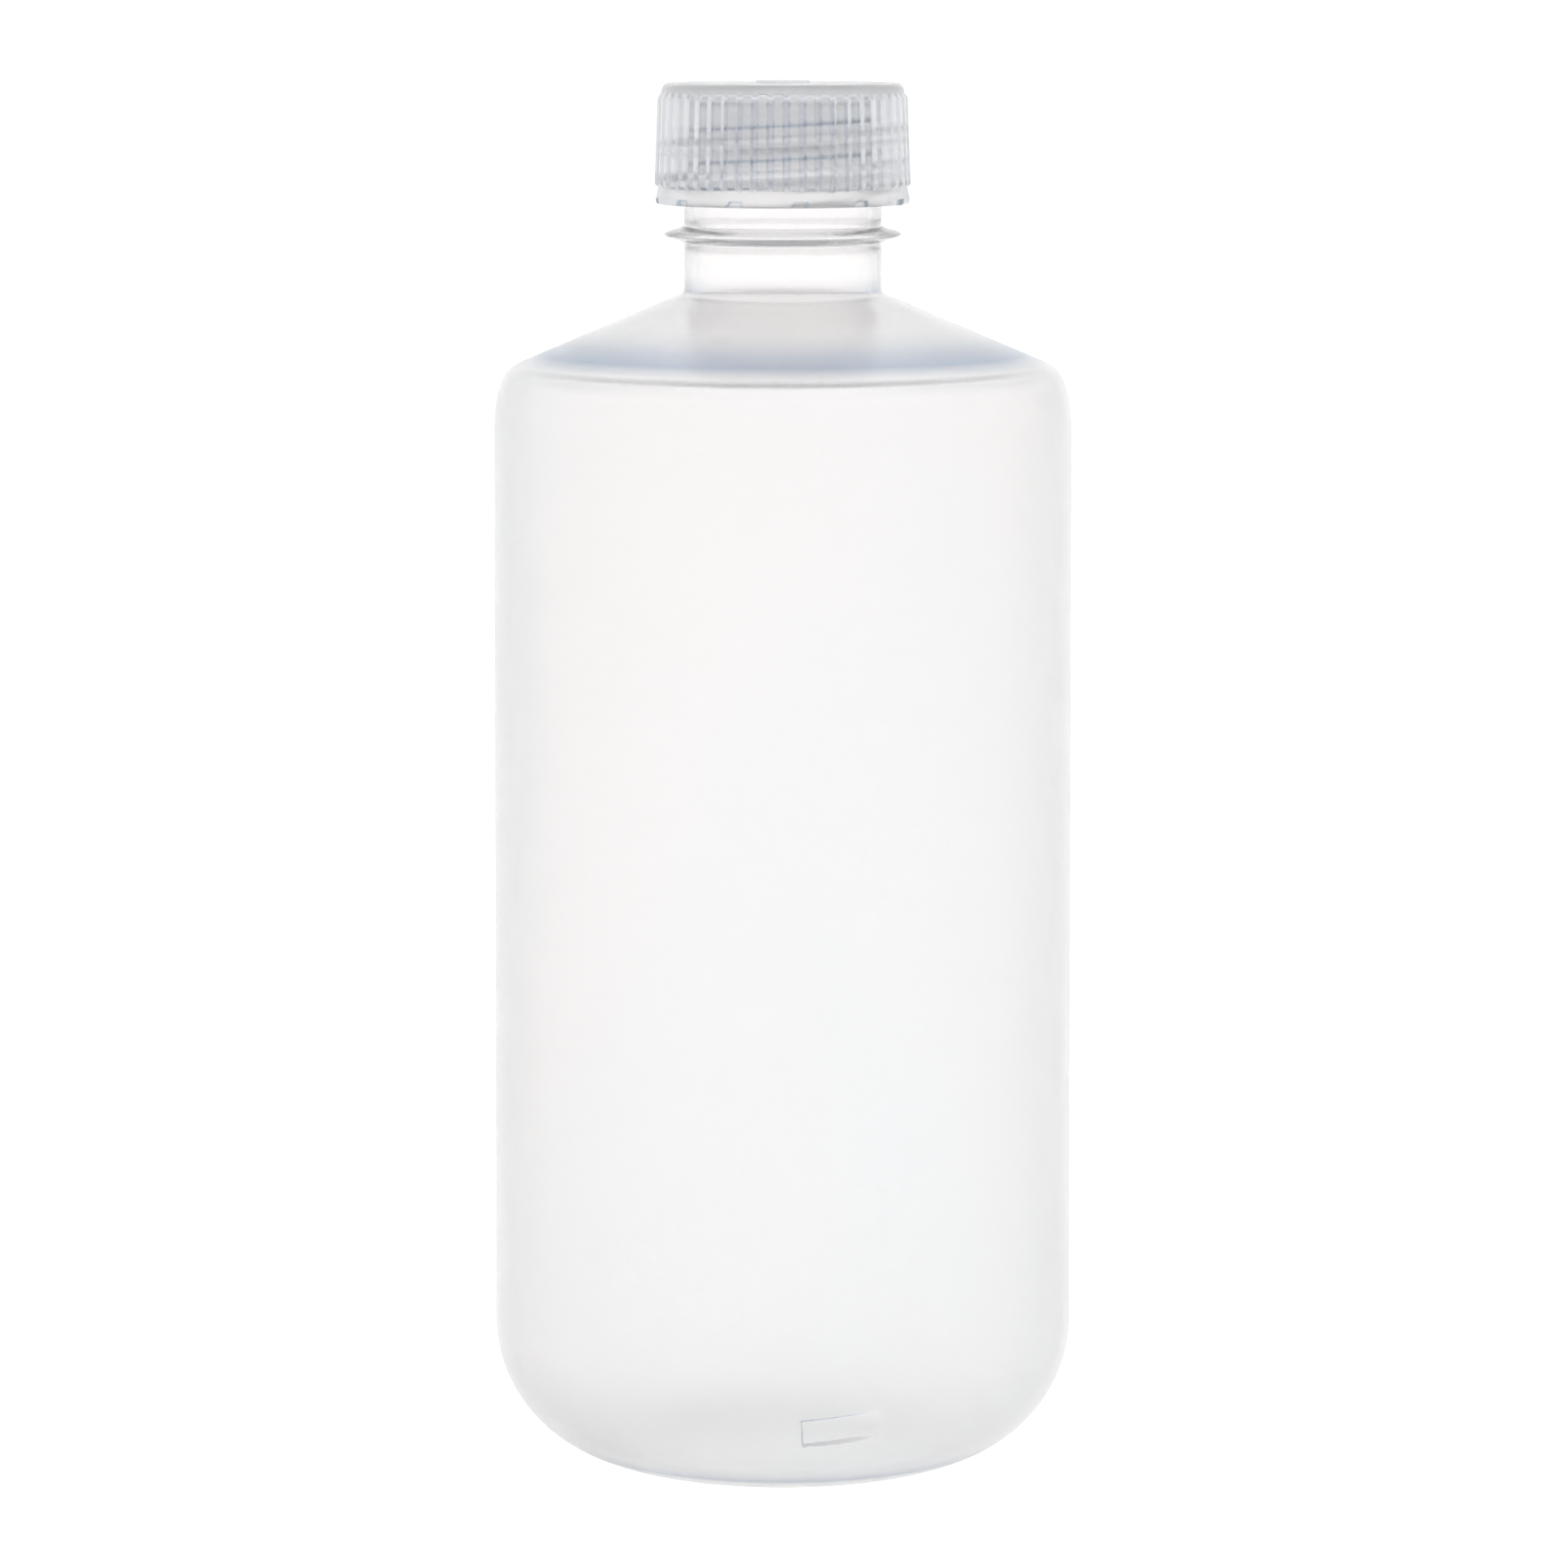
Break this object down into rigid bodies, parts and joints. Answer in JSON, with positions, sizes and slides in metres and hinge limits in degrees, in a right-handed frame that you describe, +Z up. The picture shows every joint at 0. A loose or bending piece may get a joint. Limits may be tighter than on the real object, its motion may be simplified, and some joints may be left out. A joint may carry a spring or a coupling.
{
  "type": "reagent bottle",
  "caption": "Translucent narrow-neck plastic reagent bottle with rounded heel, conical shoulder and neck ring, closed by a ribbed screw cap that unscrews and lifts clear of the mouth.",
  "frame": {"origin": "centre of the standing ring, on the surface the bottle stands on", "axes": "+Z up along the bottle's axis; -Y is the front, where the locating recess in the heel is, and +X is to the right seen from the front"},
  "size_m": [0.0748, 0.0748, 0.1784],
  "materials": {
    "bottle_polypropylene": "translucent, smooth",
    "cap_polypropylene": "translucent, ribbed",
    "liner_foam": "closed-cell foam"
  },
  "bodies": {
    "bottle": {"bottle": "bottle_polypropylene"},
    "liner": {"sealing_liner": "liner_foam"},
    "cap": {"screw_cap": "cap_polypropylene"}
  },
  "joints": [
    {"name": "cap_lift", "type": "slide", "parent": "bottle", "child": "liner", "axis": [0, 0, 1], "range_m": [0, 0.0254]},
    {"name": "cap_turn", "type": "hinge", "parent": "liner", "child": "cap", "pos_m": [0, 0, 0.17], "axis": [0, 0, 1], "range_deg": [0, 2160]}
  ],
  "couplings": [
    {"joint": "cap_lift", "follows": "cap_turn", "m_per_rad": 0.0006737}
  ]
}
